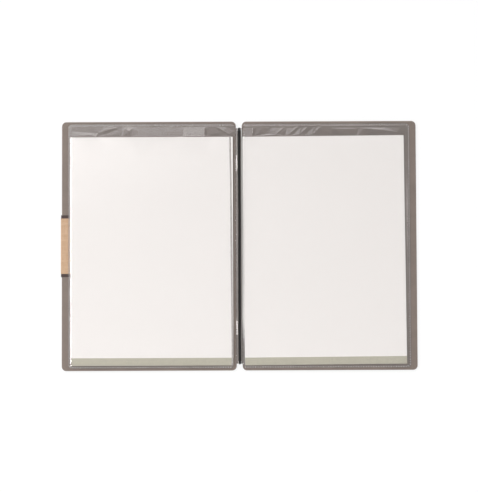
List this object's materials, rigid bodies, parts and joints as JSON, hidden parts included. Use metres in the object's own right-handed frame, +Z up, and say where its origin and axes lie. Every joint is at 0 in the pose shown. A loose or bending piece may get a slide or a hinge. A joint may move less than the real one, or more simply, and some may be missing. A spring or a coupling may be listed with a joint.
{
  "type": "menu folder",
  "caption": "Open menu folder: taupe leatherette covers hinged to a spine strip, a black elastic loop holding clear welded pockets with paper sheets, and a kraft paper label on the fore edge.",
  "frame": {"origin": "on the table under the middle of the spine, halfway between head and foot", "axes": "+X across the open folder to its right cover, +Y from the foot of the pages to their head, +Z up from the table"},
  "size_m": [0.4627, 0.324, 0.0083],
  "materials": {
    "leatherette": "fine matt grain",
    "greyboard": "raw grey board",
    "lining": "non-woven lining",
    "clear_film": "clear glossy film",
    "elastic": "braided elastic",
    "crimp_metal": "nickel plated",
    "paper": "smooth matt paper with a sage printed foot band",
    "kraft": "uncoated kraft",
    "backing": "dark uncoated card"
  },
  "bodies": {
    "right_cover": {"right_outer_skin": "leatherette", "right_board": "greyboard", "right_lining": "lining"},
    "spine": {"spine_skin": "leatherette", "spine_lining": "leatherette", "gutter_film": "clear_film", "elastic_cord": "elastic", "cord_crimp": "crimp_metal"},
    "left_cover": {"left_outer_skin": "leatherette", "left_board": "greyboard", "left_lining": "lining"},
    "right_leaf": {"right_back_film": "clear_film", "right_front_film": "clear_film"},
    "left_leaf": {"left_back_film": "clear_film", "left_front_film": "clear_film"},
    "right_paper": {"right_sheet": "paper"},
    "left_paper": {"left_sheet": "paper"},
    "label": {"label_backing": "backing", "kraft_label": "kraft"}
  },
  "joints": [
    {"name": "right_fold", "type": "hinge", "parent": "right_cover", "child": "spine", "pos_m": [0.0031, 0, 0.0039], "axis": [0, 1, 0], "range_deg": [0, 90]},
    {"name": "left_fold", "type": "hinge", "parent": "spine", "child": "left_cover", "pos_m": [-0.0031, 0, 0.0039], "axis": [0, 1, 0], "range_deg": [0, 90]},
    {"name": "right_leaf_turn", "type": "hinge", "parent": "right_cover", "child": "right_leaf", "pos_m": [0.0044, 0, 0.0039], "axis": [0, 1, 0], "range_deg": [-85, 0]},
    {"name": "left_leaf_turn", "type": "hinge", "parent": "left_cover", "child": "left_leaf", "pos_m": [-0.0044, 0, 0.00435], "axis": [0, -1, 0], "range_deg": [-85, 0]},
    {"name": "right_paper_shift", "type": "slide", "parent": "right_leaf", "child": "right_paper", "axis": [0, 1, 0], "range_m": [0, 0.0105]},
    {"name": "left_paper_shift", "type": "slide", "parent": "left_leaf", "child": "left_paper", "axis": [0, 1, 0], "range_m": [0, 0.0105]},
    {"name": "label_slide", "type": "slide", "parent": "left_cover", "child": "label", "axis": [-1, 0, 0], "range_m": [0, 0.048]}
  ]
}
